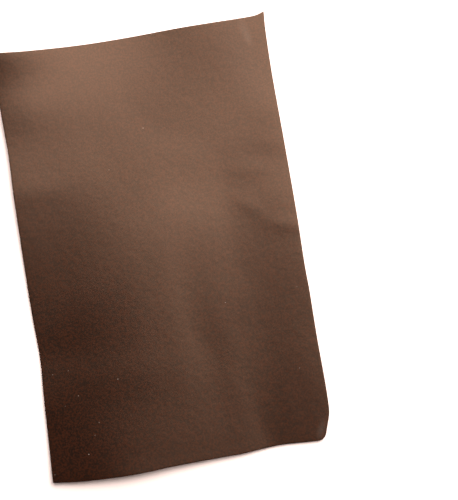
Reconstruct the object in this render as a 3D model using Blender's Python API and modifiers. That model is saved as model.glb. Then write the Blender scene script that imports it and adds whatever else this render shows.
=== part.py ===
"""A rectangular sheet of thick vegetable-tanned leather, cut from a side and lying grain side up.

The hide is stiff, so it does not lie dead flat. It touches the surface to the right of its middle,
near its front right corner and at its left edge, in front of the middle. Away from these places the
two back corners curl up, both long edges lift towards the back and the front edge arches.

Metres, +Z up. +Y runs along the sheet to its back edge and +X to its right edge. The origin is at
the middle of the outline, on the surface that the sheet lies on.
"""

import math
from collections import namedtuple

import bmesh
import bpy

MM = 0.001

# The cut size and the weight of the hide.
SHEET_WIDTH = 192 * MM
SHEET_LENGTH = 300 * MM
SHEET_THICKNESS = 2.0 * MM

# The front right corner is rounded, past a slant that the right edge makes there. The other
# three are square.
ROUND_CORNER_RADIUS = 4.5 * MM

# The grid of faces, which is finer towards the round corner.
COLUMNS = 32
ROWS = 50
CROWDING = 1.3

# How far each cut edge strays from a straight line. "along" is measured from the edge's middle,
# "out" is positive away from the sheet.
EdgePoint = namedtuple("EdgePoint", "along out")
LEFT_EDGE = (
    EdgePoint(-150 * MM, 1.1 * MM),
    EdgePoint(-108 * MM, -0.2 * MM),
    EdgePoint(-90 * MM, -0.8 * MM),
    EdgePoint(-65 * MM, -1.8 * MM),
    EdgePoint(-40 * MM, -0.9 * MM),
    EdgePoint(-15 * MM, -0.3 * MM),
    EdgePoint(50 * MM, -0.2 * MM),
    EdgePoint(78 * MM, -0.7 * MM),
    EdgePoint(105 * MM, 0.0 * MM),
    EdgePoint(150 * MM, 0.3 * MM),
)
RIGHT_EDGE = (
    EdgePoint(-150 * MM, -5.6 * MM),
    EdgePoint(-145 * MM, -4.1 * MM),
    EdgePoint(-140 * MM, -2.4 * MM),
    EdgePoint(-136 * MM, -1.0 * MM),
    EdgePoint(-131 * MM, 0.3 * MM),
    EdgePoint(-113 * MM, 0.8 * MM),
    EdgePoint(-80 * MM, 0.4 * MM),
    EdgePoint(-47 * MM, 0.6 * MM),
    EdgePoint(-30 * MM, 0.3 * MM),
    EdgePoint(4 * MM, 0.7 * MM),
    EdgePoint(55 * MM, 0.5 * MM),
    EdgePoint(107 * MM, -0.2 * MM),
    EdgePoint(138 * MM, 0.1 * MM),
    EdgePoint(150 * MM, 0.9 * MM),
)
FRONT_EDGE = (
    EdgePoint(-96 * MM, -1.8 * MM),
    EdgePoint(-84 * MM, -0.4 * MM),
    EdgePoint(-73 * MM, 0.5 * MM),
    EdgePoint(-45 * MM, 1.4 * MM),
    EdgePoint(-29 * MM, 1.1 * MM),
    EdgePoint(-10 * MM, 0.2 * MM),
    EdgePoint(20 * MM, -0.3 * MM),
    EdgePoint(37 * MM, -0.4 * MM),
    EdgePoint(64 * MM, -2.0 * MM),
    EdgePoint(88 * MM, -0.8 * MM),
    EdgePoint(96 * MM, -0.5 * MM),
)
BACK_EDGE = (
    EdgePoint(-96 * MM, 1.4 * MM),
    EdgePoint(-75 * MM, 0.2 * MM),
    EdgePoint(-40 * MM, -0.3 * MM),
    EdgePoint(-6 * MM, -0.1 * MM),
    EdgePoint(29 * MM, 0.0 * MM),
    EdgePoint(60 * MM, -0.7 * MM),
    EdgePoint(80 * MM, -1.0 * MM),
    EdgePoint(90 * MM, -0.6 * MM),
    EdgePoint(96 * MM, 1.3 * MM),
)

# The lie of the sheet. Each row is a soft swell about (x, y), or a dip where its rise is negative:
# "turn" is the angle in degrees from +X to its long direction, "long" and "wide" are the distances
# along and across it at which about a third of the rise is left. A swell that is centred beyond the
# cut edge lifts that edge.
Swell = namedtuple("Swell", "name x y turn long wide rise")
SWELLS = (
    Swell("back left corner curl", -105 * MM, 167 * MM, 0, 31 * MM, 32 * MM, 8.5 * MM),
    Swell("back left rise", -113 * MM, 151 * MM, 0, 58 * MM, 60 * MM, 3.4 * MM),
    Swell("back edge swell", -66 * MM, 165 * MM, 0, 30 * MM, 32 * MM, 3.4 * MM),
    Swell("back left swell", -80 * MM, 110 * MM, 35, 22 * MM, 16 * MM, 0.8 * MM),
    Swell("left edge lift", -113 * MM, 52 * MM, 90, 66 * MM, 34 * MM, 2.8 * MM),
    Swell("left side rise", -70 * MM, 60 * MM, 90, 40 * MM, 42 * MM, 1.0 * MM),
    Swell("back right corner curl", 88 * MM, 176 * MM, 0, 58 * MM, 62 * MM, 8.8 * MM),
    Swell("back edge rise", 46 * MM, 150 * MM, 0, 28 * MM, 42 * MM, 1.2 * MM),
    Swell("back middle rise", 24 * MM, 108 * MM, 0, 36 * MM, 34 * MM, 0.8 * MM),
    Swell("right edge swell", 100 * MM, 78 * MM, 90, 22 * MM, 20 * MM, 0.9 * MM),
    Swell("right edge lift", 110 * MM, 11 * MM, 90, 105 * MM, 44 * MM, 3.8 * MM),
    Swell("front edge arch", -33 * MM, -179 * MM, 0, 72 * MM, 66 * MM, 6.2 * MM),
    Swell("long ridge", -31 * MM, -55 * MM, 90, 80 * MM, 38 * MM, 1.7 * MM),
    Swell("middle saddle", 6 * MM, -4 * MM, 90, 26 * MM, 34 * MM, 0.35 * MM),
    Swell("front middle rise", 14 * MM, -102 * MM, 90, 26 * MM, 30 * MM, 0.27 * MM),
    Swell("front left rise", -60 * MM, -135 * MM, 90, 50 * MM, 26 * MM, 0.75 * MM),
    Swell("front right dip", 57 * MM, -142 * MM, 90, 34 * MM, 22 * MM, -0.6 * MM),
)

# Where the swells add up to less than SINK the sheet's own weight presses it flat on the surface,
# and it leaves the surface in a soft bend that takes up BEND of the rise.
SINK = 0.36 * MM
BEND = 0.4 * MM

LEATHER_COLOUR = (0.048, 0.021, 0.013, 1.0)
LEATHER_ROUGHNESS = 0.42


def clear_scene():
    for obj in list(bpy.data.objects):
        bpy.data.objects.remove(obj)


def stray(edge, along):
    """How far the cut edge lies out of line at this place, on a smooth curve through its points."""
    last = len(edge) - 1
    along = min(max(along, edge[0].along), edge[last].along)
    i = max(k for k in range(last) if edge[k].along <= along)
    before, start = edge[max(i - 1, 0)], edge[i]
    end, after = edge[i + 1], edge[min(i + 2, last)]
    span = end.along - start.along
    slope_start = (end.out - before.out) / (end.along - before.along)
    slope_end = (after.out - start.out) / (after.along - start.along)
    t = (along - start.along) / span
    return (
        (2 * t**3 - 3 * t**2 + 1) * start.out
        + (t**3 - 2 * t**2 + t) * span * slope_start
        + (3 * t**2 - 2 * t**3) * end.out
        + (t**3 - t**2) * span * slope_end
    )


def round_corner(x, y):
    """Draws the square front right corner of the blank into a quarter circle."""
    radius = ROUND_CORNER_RADIUS
    across = (x - (SHEET_WIDTH / 2 - radius)) / radius
    down = (-SHEET_LENGTH / 2 + radius - y) / radius
    if across <= 0 or down <= 0:
        return x, y
    drawn_across = across * math.sqrt(1 - down**2 / 2)
    drawn_down = down * math.sqrt(1 - across**2 / 2)
    return x + (drawn_across - across) * radius, y - (drawn_down - down) * radius


def cut_outline(x, y):
    """Moves a point of the plain rectangle to its place inside the real cut edges."""
    x, y = round_corner(x, y)
    rightness = x / SHEET_WIDTH + 0.5
    backness = y / SHEET_LENGTH + 0.5
    shift_x = rightness * stray(RIGHT_EDGE, y) - (1 - rightness) * stray(LEFT_EDGE, y)
    shift_y = backness * stray(BACK_EDGE, x) - (1 - backness) * stray(FRONT_EDGE, x)
    return x + shift_x, y + shift_y


def swell_height(swell, x, y):
    turn = math.radians(swell.turn)
    along = (x - swell.x) * math.cos(turn) + (y - swell.y) * math.sin(turn)
    across = (y - swell.y) * math.cos(turn) - (x - swell.x) * math.sin(turn)
    return swell.rise * math.exp(-((along / swell.long) ** 2) - (across / swell.wide) ** 2)


def lying_height(x, y):
    """The height of the underside: exactly zero where the sheet touches the surface."""
    lift = sum(swell_height(swell, x, y) for swell in SWELLS) - SINK
    if lift <= 0:
        return 0.0
    if lift < BEND:
        return lift**2 / (2 * BEND)
    return lift - BEND / 2


def centre_outline(verts):
    """Slides the sheet so that the box round its outline is centred on the origin."""
    for axis in (0, 1):
        lowest = min(vert.co[axis] for vert in verts)
        highest = max(vert.co[axis] for vert in verts)
        for vert in verts:
            vert.co[axis] -= (lowest + highest) / 2


def crowded(step, count):
    """A share from 0 to 1 whose steps are shortest at 0."""
    return (step / count) ** CROWDING


def make_underside(name):
    """The flesh side as an open grid of faces, cut to the outline and laid in its swells."""
    mesh = bpy.data.meshes.new(name)
    grid = bmesh.new()
    bmesh.ops.create_grid(grid, x_segments=COLUMNS, y_segments=ROWS, size=0.5)
    for vert in grid.verts:
        column = round((vert.co.x + 0.5) * COLUMNS)
        row = round((vert.co.y + 0.5) * ROWS)
        x = SHEET_WIDTH * (0.5 - crowded(COLUMNS - column, COLUMNS))
        y = SHEET_LENGTH * (crowded(row, ROWS) - 0.5)
        x, y = cut_outline(x, y)
        vert.co = (x, y, lying_height(x, y))
    centre_outline(grid.verts)
    grid.to_mesh(mesh)
    grid.free()
    return bpy.data.objects.new(name, mesh)


def leather_material():
    material = bpy.data.materials.new("vegetable_tanned_leather")
    material.use_nodes = True
    shader = material.node_tree.nodes["Principled BSDF"]
    shader.inputs["Base Color"].default_value = LEATHER_COLOUR
    shader.inputs["Roughness"].default_value = LEATHER_ROUGHNESS
    shader.inputs["Metallic"].default_value = 0.0
    return material


def make_sheet(collection):
    """The whole hide: the underside thickened upwards to the grain side."""
    sheet = make_underside("leather_sheet")
    collection.objects.link(sheet)
    sheet.data.materials.append(leather_material())

    hide = sheet.modifiers.new("hide thickness", "SOLIDIFY")
    hide.thickness = SHEET_THICKNESS
    hide.offset = 1.0
    hide.use_even_offset = True

    sheet.data.shade_smooth()
    sheet.data.set_sharp_from_angle(angle=math.radians(40))
    return sheet


def main():
    clear_scene()
    collection = bpy.data.collections.new("leather_craft_sheet")
    bpy.context.scene.collection.children.link(collection)
    make_sheet(collection)


main()
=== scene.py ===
"""A rectangular sheet of thick vegetable-tanned leather, drum dyed dark brown, lying grain side up.

Metres, +Z up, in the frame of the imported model: +Y runs along the sheet to its back edge, +X to its
right edge, and z = 0 is the surface that the sheet lies on.
"""

import math
from collections import namedtuple

import bpy
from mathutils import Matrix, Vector


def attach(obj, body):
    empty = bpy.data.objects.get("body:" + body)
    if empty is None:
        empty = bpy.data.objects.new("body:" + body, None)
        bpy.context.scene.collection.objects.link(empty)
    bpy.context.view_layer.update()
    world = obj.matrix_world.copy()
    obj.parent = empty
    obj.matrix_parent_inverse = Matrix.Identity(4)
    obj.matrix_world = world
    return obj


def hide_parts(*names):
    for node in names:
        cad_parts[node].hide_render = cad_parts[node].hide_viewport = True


MM = 0.001

# The cut size and the weight of the hide.
SHEET_WIDTH = 192 * MM
SHEET_LENGTH = 300 * MM
HIDE_THICKNESS = 2.0 * MM

# The front right corner is rounded, past a slant that the right edge makes there. The other
# three are square.
ROUND_CORNER_RADIUS = 4.5 * MM

# How far each cut edge strays from a straight line. "along" is measured from the edge's middle,
# "out" is positive away from the sheet.
EdgePoint = namedtuple("EdgePoint", "along out")
LEFT_EDGE = (
    EdgePoint(-150 * MM, 1.1 * MM),
    EdgePoint(-108 * MM, -0.2 * MM),
    EdgePoint(-90 * MM, -0.8 * MM),
    EdgePoint(-65 * MM, -1.8 * MM),
    EdgePoint(-40 * MM, -0.9 * MM),
    EdgePoint(-15 * MM, -0.3 * MM),
    EdgePoint(50 * MM, -0.2 * MM),
    EdgePoint(78 * MM, -0.7 * MM),
    EdgePoint(105 * MM, 0.0 * MM),
    EdgePoint(150 * MM, 0.3 * MM),
)
RIGHT_EDGE = (
    EdgePoint(-150 * MM, -5.6 * MM),
    EdgePoint(-145 * MM, -4.1 * MM),
    EdgePoint(-140 * MM, -2.4 * MM),
    EdgePoint(-136 * MM, -1.0 * MM),
    EdgePoint(-131 * MM, 0.3 * MM),
    EdgePoint(-113 * MM, 0.8 * MM),
    EdgePoint(-80 * MM, 0.4 * MM),
    EdgePoint(-47 * MM, 0.6 * MM),
    EdgePoint(-30 * MM, 0.3 * MM),
    EdgePoint(4 * MM, 0.7 * MM),
    EdgePoint(55 * MM, 0.5 * MM),
    EdgePoint(107 * MM, -0.2 * MM),
    EdgePoint(138 * MM, 0.1 * MM),
    EdgePoint(150 * MM, 0.9 * MM),
)
FRONT_EDGE = (
    EdgePoint(-96 * MM, -1.8 * MM),
    EdgePoint(-84 * MM, -0.4 * MM),
    EdgePoint(-73 * MM, 0.5 * MM),
    EdgePoint(-45 * MM, 1.4 * MM),
    EdgePoint(-29 * MM, 1.1 * MM),
    EdgePoint(-10 * MM, 0.2 * MM),
    EdgePoint(20 * MM, -0.3 * MM),
    EdgePoint(37 * MM, -0.4 * MM),
    EdgePoint(64 * MM, -2.0 * MM),
    EdgePoint(88 * MM, -0.8 * MM),
    EdgePoint(96 * MM, -0.5 * MM),
)
BACK_EDGE = (
    EdgePoint(-96 * MM, 1.4 * MM),
    EdgePoint(-75 * MM, 0.2 * MM),
    EdgePoint(-40 * MM, -0.3 * MM),
    EdgePoint(-6 * MM, -0.1 * MM),
    EdgePoint(29 * MM, 0.0 * MM),
    EdgePoint(60 * MM, -0.7 * MM),
    EdgePoint(80 * MM, -1.0 * MM),
    EdgePoint(90 * MM, -0.6 * MM),
    EdgePoint(96 * MM, 1.3 * MM),
)

# The lie of the sheet. Each row is a soft swell about (x, y), or a dip where its rise is negative:
# "turn" is the angle in degrees from +X to its long direction, "long" and "wide" are the distances
# along and across it at which about a third of the rise is left. A swell that is centred beyond the
# cut edge lifts that edge.
Swell = namedtuple("Swell", "name x y turn long wide rise")
SWELLS = (
    Swell("back left corner curl", -105 * MM, 167 * MM, 0, 31 * MM, 32 * MM, 8.5 * MM),
    Swell("back left rise", -113 * MM, 151 * MM, 0, 58 * MM, 60 * MM, 3.4 * MM),
    Swell("back edge swell", -66 * MM, 165 * MM, 0, 30 * MM, 32 * MM, 3.4 * MM),
    Swell("back left swell", -80 * MM, 110 * MM, 35, 22 * MM, 16 * MM, 0.8 * MM),
    Swell("left edge lift", -113 * MM, 52 * MM, 90, 66 * MM, 34 * MM, 2.8 * MM),
    Swell("left side rise", -70 * MM, 60 * MM, 90, 40 * MM, 42 * MM, 1.0 * MM),
    Swell("back right corner curl", 88 * MM, 176 * MM, 0, 58 * MM, 62 * MM, 8.8 * MM),
    Swell("back edge rise", 46 * MM, 150 * MM, 0, 28 * MM, 42 * MM, 1.2 * MM),
    Swell("back middle rise", 24 * MM, 108 * MM, 0, 36 * MM, 34 * MM, 0.8 * MM),
    Swell("right edge swell", 100 * MM, 78 * MM, 90, 22 * MM, 20 * MM, 0.9 * MM),
    Swell("right edge lift", 110 * MM, 11 * MM, 90, 105 * MM, 44 * MM, 3.8 * MM),
    Swell("front edge arch", -33 * MM, -179 * MM, 0, 72 * MM, 66 * MM, 6.2 * MM),
    Swell("long ridge", -31 * MM, -55 * MM, 90, 80 * MM, 38 * MM, 1.7 * MM),
    Swell("middle saddle", 6 * MM, -4 * MM, 90, 26 * MM, 34 * MM, 0.35 * MM),
    Swell("front middle rise", 14 * MM, -102 * MM, 90, 26 * MM, 30 * MM, 0.27 * MM),
    Swell("front left rise", -60 * MM, -135 * MM, 90, 50 * MM, 26 * MM, 0.75 * MM),
    Swell("front right dip", 57 * MM, -142 * MM, 90, 34 * MM, 22 * MM, -0.6 * MM),
)

# Where the swells add up to less than SINK the sheet's own weight presses it flat on the surface,
# and it leaves the surface in a soft bend that takes up BEND of the rise.
SINK = 0.36 * MM
BEND = 0.4 * MM

# The hide is a little uneven in thickness, which shows on the grain side alone: low ridges and
# ripples that catch the light.
GRAIN_RELIEF = (
    Swell("middle ridge", 1 * MM, -49 * MM, 93, 60 * MM, 15 * MM, 0.35 * MM),
    Swell("middle swell", 8 * MM, 17 * MM, 45, 22 * MM, 22 * MM, 0.35 * MM),
    Swell("front ridge", 36 * MM, -99 * MM, 94, 50 * MM, 11 * MM, 0.24 * MM),
    Swell("front right rise", 85 * MM, -104 * MM, 90, 36 * MM, 16 * MM, 0.4 * MM),
    Swell("front left ripple", -53 * MM, -84 * MM, 0, 44 * MM, 15 * MM, 0.35 * MM),
    Swell("left edge ripple", -98 * MM, -97 * MM, 0, 28 * MM, 15 * MM, 0.45 * MM),
    Swell("front right ridge", 70 * MM, -114 * MM, 92, 28 * MM, 8 * MM, 0.12 * MM),
    Swell("middle right ripple", 53 * MM, -46 * MM, 90, 14 * MM, 9 * MM, 0.1 * MM),
    Swell("front edge dip", 4 * MM, -150 * MM, 0, 30 * MM, 14 * MM, -0.25 * MM),
    Swell("front left corner rise", -94 * MM, -148 * MM, 0, 22 * MM, 14 * MM, 0.25 * MM),
    Swell("left edge dip", -94 * MM, -62 * MM, 0, 34 * MM, 12 * MM, -0.3 * MM),
    Swell("middle dip", 33 * MM, 38 * MM, 0, 32 * MM, 24 * MM, -0.5 * MM),
    Swell("long ripple", -20 * MM, -38 * MM, 90, 60 * MM, 14 * MM, 0.18 * MM),
    Swell("back edge dip", -2 * MM, 154 * MM, 0, 42 * MM, 18 * MM, -0.45 * MM),
    Swell("left side ripple", -80 * MM, 51 * MM, 0, 22 * MM, 10 * MM, 0.2 * MM),
    Swell("left ripple", -60 * MM, -30 * MM, 30, 30 * MM, 16 * MM, 0.25 * MM),
    Swell("side crease", 91 * MM, 0 * MM, -14, 17 * MM, 6 * MM, 0.2 * MM),
    Swell("upper side crease", 66 * MM, 17 * MM, -38, 13 * MM, 5 * MM, 0.11 * MM),
    Swell("side swell", 78 * MM, 18 * MM, -15, 22 * MM, 16 * MM, 0.15 * MM),
    Swell("side ridge", 71 * MM, 43 * MM, -6, 14 * MM, 6 * MM, 0.13 * MM),
    Swell("side ripple", 92 * MM, 58 * MM, -15, 18 * MM, 9 * MM, 0.2 * MM),
    Swell("back left ripple", -54 * MM, 109 * MM, 15, 36 * MM, 25 * MM, 0.95 * MM),
    Swell("front edge rise", -46 * MM, -157 * MM, 0, 24 * MM, 12 * MM, 0.5 * MM),
    Swell("back left edge rise", -106 * MM, 126 * MM, 0, 16 * MM, 16 * MM, 0.5 * MM),
)

# Points lie SPACING apart, and closer beside the cut edges, where the grain gives a little under
# the pressure of the knife: it falls by ROLL_DEPTH at the edge, and by a third of that at
# ROLL_REACH from it.
SPACING = 1.5 * MM
EDGE_INSETS = (0.0 * MM, 0.3 * MM, 0.7 * MM, 1.3 * MM)
ROLL_DEPTH = 0.04 * MM
ROLL_REACH = 0.5 * MM

# The rims of the cut edges turn by more than ARRIS_ANGLE degrees, and their arris is a little
# blunt. Faces that meet at less than SMOOTH_ANGLE degrees are shaded as one surface.
ARRIS = 0.12 * MM
ARRIS_SEGMENTS = 2
ARRIS_ANGLE = 50
SMOOTH_ANGLE = 35

# The order of the finishes on the mesh. The normal of a face on the grain side points up by more
# than STEEP, and that of one on the flesh side points down by as much. The rest is cut edge.
GRAIN_FINISH, CUT_FINISH, FLESH_FINISH = range(3)
STEEP = 0.95

# Small marks on the grain side: "turn" is the angle in degrees from +X to the mark's long
# direction, "long" and "wide" are half its length and width, and "tone" is how far it takes the
# leather's colour towards a pale grey, the colour of lint. Specks of lint come first, then two
# scuffs and a faint, broad grey patch near the back right corner, and last a pale strip along the
# rim of the cut-off corner: partly wear, and partly a painted highlight where the rim bends.
Mark = namedtuple("Mark", "x y turn long wide tone")
MARKS = (
    Mark(-70 * MM, -133 * MM, 20, 0.4 * MM, 0.35 * MM, 0.9),
    Mark(0.5 * MM, 84 * MM, 0, 0.35 * MM, 0.3 * MM, 0.9),
    Mark(-43 * MM, -86 * MM, 70, 0.4 * MM, 0.3 * MM, 0.8),
    Mark(-71.5 * MM, -93 * MM, 0, 0.4 * MM, 0.3 * MM, 0.6),
    Mark(38 * MM, -46 * MM, 0, 0.35 * MM, 0.3 * MM, 0.7),
    Mark(-64 * MM, -121 * MM, 40, 0.4 * MM, 0.3 * MM, 0.4),
    Mark(-60 * MM, -113 * MM, 100, 0.5 * MM, 0.25 * MM, 0.5),
    Mark(-27.5 * MM, 58.5 * MM, 0, 0.35 * MM, 0.3 * MM, 0.5),
    Mark(81 * MM, -98.5 * MM, 0, 0.35 * MM, 0.3 * MM, 0.5),
    Mark(-87 * MM, -76 * MM, 0, 0.35 * MM, 0.35 * MM, 0.4),
    Mark(-76 * MM, -75 * MM, 30, 0.4 * MM, 0.3 * MM, 0.4),
    Mark(-81.5 * MM, -98.5 * MM, 0, 0.35 * MM, 0.3 * MM, 0.3),
    Mark(-95 * MM, -143 * MM, 0, 0.35 * MM, 0.3 * MM, 0.6),
    Mark(88.5 * MM, -43 * MM, 0, 0.35 * MM, 0.3 * MM, 0.3),
    Mark(82 * MM, 139 * MM, -77, 14 * MM, 4.5 * MM, 0.03),
    Mark(83 * MM, 134 * MM, -77, 5 * MM, 3 * MM, 0.015),
    # A faint grey tint over a broad patch near the back right corner.
    Mark(78 * MM, 122 * MM, 100, 45 * MM, 20 * MM, 0.018),
    # The pale rim of the cut-off corner: partly wear, partly a painted highlight where the rim bends.
    Mark(89 * MM, -142 * MM, 65, 9 * MM, 3.5 * MM, 0.04),
)

# Sizes and depths of the patterns in the leather, as they are drawn. A noise lies between
# NOISE_LOW and NOISE_HIGH nearly everywhere.
NOISE_LOW = 0.3
NOISE_HIGH = 0.7
LEATHER_IOR = 1.5

# The dye of the grain side: specks take up SPECK_SHARE of its unevenness and blotches the rest.
DYE_BLOTCH = 9 * MM
DYE_SPECK = 1.3 * MM
SPECK_SHARE = 0.88
DEEP_DYE = "#0B0302"
DEEP_DYE_BELOW = 0.42
THIN_DYE = "#281006"
THIN_DYE_ABOVE = 0.6
# A pale grey: the colour of lint, and of the painted highlight on the rim of the cut-off corner.
LINT_AND_HIGHLIGHT_COLOUR = "#B8B0A8"

# The waxed surface of the grain side: its gloss, and the pebbles and wrinkles of the grain. A
# pebble falls off from its middle to its rim by PEBBLE_FALL, where a wrinkle's whole height is 1.
SHEEN_TINT = "#FFDABD"
DEEP_DYE_ROUGHNESS = 0.335
THIN_DYE_ROUGHNESS = 0.32
PEBBLE = 1.3 * MM
PEBBLE_FALL = -0.15
WRINKLE = 4.5 * MM
GRAIN_DEPTH = 0.06 * MM

# The bare fibre of the cut edge and the nap of the flesh side: "shade" is the colour between the
# fibres, "tip" the colour of their ends.
Fibre = namedtuple("Fibre", "size detail depth shade tip roughness")
CUT_FIBRE = Fibre(0.8 * MM, 4.0, 0.2 * MM, "#2B170F", "#5C3E30", 0.85)
SUEDE_NAP = Fibre(1.4 * MM, 5.0, 0.3 * MM, "#6B5547", "#9C8272", 0.95)

# The photograph's camera: 5 degrees off straight down, towards the front and a little to the left.
# Turns are in degrees from +Y towards +X, and tilts in degrees from straight up.
CAMERA_TURN = 189.2
CAMERA_TILT = 5
CAMERA_DISTANCE = 706 * MM
CAMERA_AIM = Vector((46.3 * MM, -10.25 * MM, 0))
CAMERA_LENS_MM = 73.0

# The one big soft light, high on the back right, and the dim light of the room.
LIGHT_TURN = 38.7
LIGHT_TILT = 40.7
LIGHT_DISTANCE = 1.0
LIGHT_SIDE = 1.42
LIGHT_POWER = 48
LIGHT_COLOUR = "#FFEDE4"
ROOM_COLOUR = "#FFF0E6"
ROOM_STRENGTH = 0.03

FLOOR_SIDE = 4.0
FLOOR_COLOUR = "#F5EFEF"
FLOOR_ROUGHNESS = 0.9


def linear(hex_colour):
    """An sRGB hex colour as the linear colour that a shader socket takes."""
    channels = [int(hex_colour[i : i + 2], 16) / 255 for i in (1, 3, 5)]
    lit = [c / 12.92 if c <= 0.04045 else ((c + 0.055) / 1.055) ** 2.4 for c in channels]
    return (*lit, 1.0)


def stray(edge, along):
    """How far the cut edge lies out of line at this place, on a smooth curve through its points."""
    last = len(edge) - 1
    along = min(max(along, edge[0].along), edge[last].along)
    i = max(k for k in range(last) if edge[k].along <= along)
    before, start = edge[max(i - 1, 0)], edge[i]
    end, after = edge[i + 1], edge[min(i + 2, last)]
    span = end.along - start.along
    slope_start = (end.out - before.out) / (end.along - before.along)
    slope_end = (after.out - start.out) / (after.along - start.along)
    t = (along - start.along) / span
    return (
        (2 * t**3 - 3 * t**2 + 1) * start.out
        + (t**3 - 2 * t**2 + t) * span * slope_start
        + (3 * t**2 - 2 * t**3) * end.out
        + (t**3 - t**2) * span * slope_end
    )


def round_corner(x, y):
    """Draws the square front right corner of the blank into a quarter circle."""
    radius = ROUND_CORNER_RADIUS
    across = (x - (SHEET_WIDTH / 2 - radius)) / radius
    down = (-SHEET_LENGTH / 2 + radius - y) / radius
    if across <= 0 or down <= 0:
        return x, y
    drawn_across = across * math.sqrt(1 - down**2 / 2)
    drawn_down = down * math.sqrt(1 - across**2 / 2)
    return x + (drawn_across - across) * radius, y - (drawn_down - down) * radius


def cut_outline(x, y):
    """Moves a point of the plain rectangle to its place inside the real cut edges."""
    x, y = round_corner(x, y)
    rightness = x / SHEET_WIDTH + 0.5
    backness = y / SHEET_LENGTH + 0.5
    shift_x = rightness * stray(RIGHT_EDGE, y) - (1 - rightness) * stray(LEFT_EDGE, y)
    shift_y = backness * stray(BACK_EDGE, x) - (1 - backness) * stray(FRONT_EDGE, x)
    return x + shift_x, y + shift_y


def swell_height(swell, x, y):
    turn = math.radians(swell.turn)
    along = (x - swell.x) * math.cos(turn) + (y - swell.y) * math.sin(turn)
    across = (y - swell.y) * math.cos(turn) - (x - swell.x) * math.sin(turn)
    return swell.rise * math.exp(-((along / swell.long) ** 2) - (across / swell.wide) ** 2)


def lying_height(x, y):
    """The height of the underside: exactly zero where the sheet touches the surface."""
    lift = sum(swell_height(swell, x, y) for swell in SWELLS) - SINK
    if lift <= 0:
        return 0.0
    if lift < BEND:
        return lift**2 / (2 * BEND)
    return lift - BEND / 2


def stations(length):
    """The places of the rows of points along one side of the blank, from end to end."""
    inner = length / 2 - EDGE_INSETS[-1]
    steps = round(2 * inner / SPACING)
    regular = [inner * (2 * step / steps - 1) for step in range(steps + 1)]
    first = [inset - length / 2 for inset in EDGE_INSETS[:-1]]
    return first + regular + [-place for place in reversed(first)]


def apply_modifier(obj, kind, **settings):
    modifier = obj.modifiers.new(kind.lower(), kind)
    for name, value in settings.items():
        setattr(modifier, name, value)
    bpy.context.view_layer.objects.active = obj
    bpy.ops.object.modifier_apply(modifier=modifier.name)


def lay_out_underside():
    """The flesh side as an open grid of faces, and each point's place on the blank."""
    columns, rows = stations(SHEET_WIDTH), stations(SHEET_LENGTH)
    bpy.ops.mesh.primitive_grid_add(
        x_subdivisions=len(columns) - 1, y_subdivisions=len(rows) - 1, size=1
    )
    sheet = bpy.context.object
    sheet.name = sheet.data.name = "leather_sheet_grain_up"
    places = []
    for vert in sheet.data.vertices:
        column = round((vert.co.x + 0.5) * (len(columns) - 1))
        row = round((vert.co.y + 0.5) * (len(rows) - 1))
        inset = min(
            SHEET_WIDTH / 2 - abs(columns[column]),
            SHEET_LENGTH / 2 - abs(rows[row]),
        )
        x, y = cut_outline(columns[column], rows[row])
        vert.co = (x, y, lying_height(x, y))
        places.append((x, y, inset))
    return sheet, places


def raise_grain(sheet, places):
    """Gives the grain side its low relief and rolls it over beside the cut edges."""
    # The points that were laid out first are those of the upper face, once the sheet is thick.
    upper = sheet.data.vertices[: len(places)]
    for vert, (x, y, inset) in zip(upper, places):
        vert.co.z += sum(swell_height(swell, x, y) for swell in GRAIN_RELIEF)
        vert.co.z -= ROLL_DEPTH * math.exp(-((inset / ROLL_REACH) ** 2))


def centre_outline(mesh):
    """Slides the sheet so that the box round its outline is centred on the origin."""
    for axis in (0, 1):
        lowest = min(vert.co[axis] for vert in mesh.vertices)
        highest = max(vert.co[axis] for vert in mesh.vertices)
        for vert in mesh.vertices:
            vert.co[axis] -= (lowest + highest) / 2


def make_sheet():
    """The whole hide: thickened upwards, its grain side uneven, its cut edges a little blunt."""
    sheet, places = lay_out_underside()
    apply_modifier(
        sheet, "SOLIDIFY", thickness=HIDE_THICKNESS, offset=1.0, use_even_offset=True
    )
    raise_grain(sheet, places)
    apply_modifier(
        sheet,
        "BEVEL",
        width=ARRIS,
        segments=ARRIS_SEGMENTS,
        limit_method="ANGLE",
        angle_limit=math.radians(ARRIS_ANGLE),
    )
    centre_outline(sheet.data)
    for material in (grain_side(), cut_edge(), flesh_side()):
        sheet.data.materials.append(material)
    for face in sheet.data.polygons:
        if face.normal.z > STEEP:
            face.material_index = GRAIN_FINISH
        elif face.normal.z < -STEEP:
            face.material_index = FLESH_FINISH
        else:
            face.material_index = CUT_FINISH
    bpy.ops.object.shade_smooth_by_angle(angle=math.radians(SMOOTH_ANGLE))
    return sheet


def add_node(tree, kind, sockets=(), **settings):
    """Adds a node with its settings, and fills its sockets with values or other nodes' outputs."""
    node = tree.nodes.new(kind)
    for name, value in settings.items():
        setattr(node, name, value)
    for socket, value in dict(sockets).items():
        if isinstance(value, bpy.types.NodeSocket):
            tree.links.new(value, node.inputs[socket])
        else:
            node.inputs[socket].default_value = value
    return node


def new_material(name):
    material = bpy.data.materials.new(name)
    material.use_nodes = True
    tree = material.node_tree
    place = add_node(tree, "ShaderNodeTexCoord").outputs["Object"]
    return material, tree, tree.nodes["Principled BSDF"], place


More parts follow.
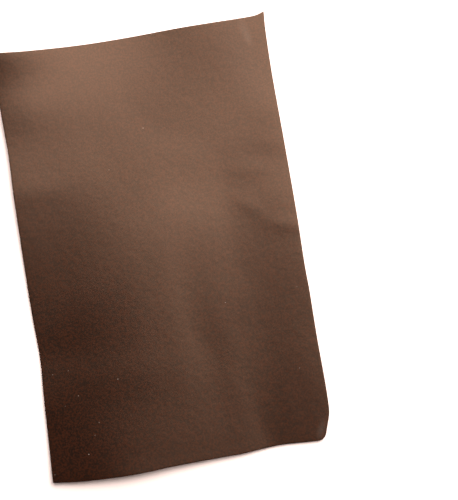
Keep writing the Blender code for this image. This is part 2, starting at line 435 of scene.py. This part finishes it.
def marks_mask(tree, place):
    """How far the marks take the leather towards their pale grey: full in the middle of a mark, none
    past its rim. They are specks of dust, scuffs and wear, and a painted highlight on the rim of the
    cut-off corner.
    """
    flat = add_node(
        tree, "ShaderNodeVectorMath", {0: place, 1: (1, 1, 0)}, operation="MULTIPLY"
    ).outputs["Vector"]
    mask = 0.0
    for mark in MARKS:
        from_middle = add_node(
            tree,
            "ShaderNodeMapping",
            {
                "Vector": flat,
                "Location": (mark.x, mark.y, 0),
                "Rotation": (0, 0, math.radians(mark.turn)),
                "Scale": (mark.long, mark.wide, 1),
            },
            vector_type="TEXTURE",
        )
        fade = add_node(
            tree,
            "ShaderNodeTexGradient",
            {"Vector": from_middle.outputs["Vector"]},
            gradient_type="SPHERICAL",
        )
        mask = add_node(
            tree,
            "ShaderNodeMath",
            {0: fade.outputs["Fac"], 1: mark.tone, 2: mask},
            operation="MULTIPLY_ADD",
        ).outputs[0]
    return mask


def grain_side():
    """Vegetable-tanned full grain, drum dyed and lightly waxed.

    The dye sinks in unevenly, so the eye sees a near black brown with darker and redder specks in
    soft blotches. The wax gives it a broad, warm satin sheen, which the pebbles and the shallow
    wrinkles of the grain break up. Pebbles and specks are about half a millimetre wide on the hide,
    and both are drawn coarser, at 1.3 mm, so that they show.
    """
    material, tree, shader, place = new_material("drum_dyed_full_grain_leather")
    blotches = add_node(
        tree,
        "ShaderNodeTexNoise",
        {"Vector": place, "Scale": 1 / DYE_BLOTCH, "Detail": 3.0, "Roughness": 0.6},
    )
    specks = add_node(
        tree,
        "ShaderNodeTexNoise",
        {"Vector": place, "Scale": 1 / DYE_SPECK, "Detail": 2.0, "Roughness": 0.6},
    )
    mottle = add_node(
        tree,
        "ShaderNodeMix",
        {0: SPECK_SHARE, 2: blotches.outputs["Fac"], 3: specks.outputs["Fac"]},
        data_type="FLOAT",
    )
    dye = add_node(tree, "ShaderNodeValToRGB", {"Fac": mottle.outputs[0]})
    dye.color_ramp.elements[0].position = DEEP_DYE_BELOW
    dye.color_ramp.elements[0].color = linear(DEEP_DYE)
    dye.color_ramp.elements[1].position = THIN_DYE_ABOVE
    dye.color_ramp.elements[1].color = linear(THIN_DYE)
    # The marks take the dye towards a pale grey: lint, scuffs and wear, and on the cut-off corner's
    # rim a painted highlight.
    lint_and_highlight = add_node(
        tree,
        "ShaderNodeMix",
        {0: marks_mask(tree, place), 6: dye.outputs["Color"], 7: linear(LINT_AND_HIGHLIGHT_COLOUR)},
        data_type="RGBA",
    )
    tree.links.new(lint_and_highlight.outputs[2], shader.inputs["Base Color"])

    sheen = add_node(
        tree,
        "ShaderNodeMapRange",
        {
            "Value": specks.outputs["Fac"],
            "From Min": NOISE_LOW,
            "From Max": NOISE_HIGH,
            "To Min": DEEP_DYE_ROUGHNESS,
            "To Max": THIN_DYE_ROUGHNESS,
        },
    )
    tree.links.new(sheen.outputs["Result"], shader.inputs["Roughness"])

    pebble = add_node(
        tree,
        "ShaderNodeTexVoronoi",
        {"Vector": place, "Scale": 1 / PEBBLE, "Randomness": 1.0},
        feature="SMOOTH_F1",
    )
    wrinkle = add_node(
        tree,
        "ShaderNodeTexNoise",
        {"Vector": place, "Scale": 1 / WRINKLE, "Detail": 2.0, "Roughness": 0.5},
    )
    grain = add_node(
        tree,
        "ShaderNodeMath",
        {0: pebble.outputs["Distance"], 1: PEBBLE_FALL, 2: wrinkle.outputs["Fac"]},
        operation="MULTIPLY_ADD",
    )
    bump = add_node(
        tree,
        "ShaderNodeBump",
        {"Height": grain.outputs[0], "Strength": 1.0, "Distance": GRAIN_DEPTH},
    )
    tree.links.new(bump.outputs["Normal"], shader.inputs["Normal"])
    shader.inputs["Specular Tint"].default_value = linear(SHEEN_TINT)
    shader.inputs["IOR"].default_value = LEATHER_IOR
    return material


def bare_fibre(name, fibre):
    """A leather surface of loose, unwaxed fibre, with pale tips and darker gaps."""
    material, tree, shader, place = new_material(name)
    fibres = add_node(
        tree,
        "ShaderNodeTexNoise",
        {"Vector": place, "Scale": 1 / fibre.size, "Detail": fibre.detail, "Roughness": 0.7},
    )
    tone = add_node(tree, "ShaderNodeValToRGB", {"Fac": fibres.outputs["Fac"]})
    tone.color_ramp.elements[0].position = NOISE_LOW
    tone.color_ramp.elements[0].color = linear(fibre.shade)
    tone.color_ramp.elements[1].position = NOISE_HIGH
    tone.color_ramp.elements[1].color = linear(fibre.tip)
    tree.links.new(tone.outputs["Color"], shader.inputs["Base Color"])
    bump = add_node(
        tree,
        "ShaderNodeBump",
        {"Height": fibres.outputs["Fac"], "Strength": 1.0, "Distance": fibre.depth},
    )
    tree.links.new(bump.outputs["Normal"], shader.inputs["Normal"])
    shader.inputs["Roughness"].default_value = fibre.roughness
    shader.inputs["IOR"].default_value = LEATHER_IOR
    return material


def cut_edge():
    """Vegetable-tanned fibre, knife cut: dyed, but neither waxed nor burnished.

    The eye sees a thin matt line, paler than the grain side, with short bright and dark fibres. The
    fibre bundles are 0.1 to 0.2 mm thick, and are drawn coarser, at 0.8 mm, so that they show.
    """
    return bare_fibre("knife_cut_leather_edge", CUT_FIBRE)


def flesh_side():
    """The flesh side as it was split, with a short suede nap of fibre ends.

    The eye sees a dull, dusty pinkish brown with darker tufts and no shine. The nap is 1 to 2 mm
    long on the hide, and its tufts are drawn at 1.4 mm.
    """
    return bare_fibre("suede_flesh_side", SUEDE_NAP)


def direction(turn, tilt):
    """The unit vector that points this way."""
    turn, tilt = math.radians(turn), math.radians(tilt)
    return Vector(
        (math.sin(turn) * math.sin(tilt), math.cos(turn) * math.sin(tilt), math.cos(tilt))
    )


def add_floor():
    bpy.ops.mesh.primitive_plane_add(size=FLOOR_SIDE)
    floor = bpy.context.object
    floor.name = floor.data.name = "floor"
    material = bpy.data.materials.new("matt_white_paper")
    material.use_nodes = True
    shader = material.node_tree.nodes["Principled BSDF"]
    shader.inputs["Base Color"].default_value = linear(FLOOR_COLOUR)
    shader.inputs["Roughness"].default_value = FLOOR_ROUGHNESS
    floor.data.materials.append(material)


def add_light():
    light = bpy.data.lights.new("soft_window", "AREA")
    light.shape = "SQUARE"
    light.size = LIGHT_SIDE
    light.energy = LIGHT_POWER
    light.color = linear(LIGHT_COLOUR)[:3]
    lamp = bpy.data.objects.new("soft_window", light)
    bpy.context.scene.collection.objects.link(lamp)
    towards = direction(LIGHT_TURN, LIGHT_TILT)
    lamp.location = towards * LIGHT_DISTANCE
    lamp.rotation_euler = (-towards).to_track_quat("-Z", "Y").to_euler()

    world = bpy.data.worlds.new("dim_room")
    world.use_nodes = True
    sky = world.node_tree.nodes["Background"]
    sky.inputs["Color"].default_value = linear(ROOM_COLOUR)
    sky.inputs["Strength"].default_value = ROOM_STRENGTH
    bpy.context.scene.world = world


def add_camera():
    data = bpy.data.cameras.new("photo_camera")
    data.lens = CAMERA_LENS_MM
    camera = bpy.data.objects.new("photo_camera", data)
    bpy.context.scene.collection.objects.link(camera)
    towards = direction(CAMERA_TURN, CAMERA_TILT)
    camera.location = CAMERA_AIM + towards * CAMERA_DISTANCE
    camera.rotation_euler = (-towards).to_track_quat("-Z", "Y").to_euler()
    bpy.context.scene.camera = camera


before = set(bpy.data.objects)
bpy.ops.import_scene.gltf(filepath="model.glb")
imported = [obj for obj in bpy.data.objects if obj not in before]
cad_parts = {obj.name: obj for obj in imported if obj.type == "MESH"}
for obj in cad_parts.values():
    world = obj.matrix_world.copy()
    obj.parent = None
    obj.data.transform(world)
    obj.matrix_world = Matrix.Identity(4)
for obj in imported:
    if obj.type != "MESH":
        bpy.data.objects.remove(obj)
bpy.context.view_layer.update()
bpy.ops.object.select_all(action="DESELECT")

leather_sheet = make_sheet()
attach(leather_sheet, "root")
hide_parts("leather_sheet")

add_floor()
add_light()
add_camera()
bpy.context.scene.view_settings.view_transform = "Standard"
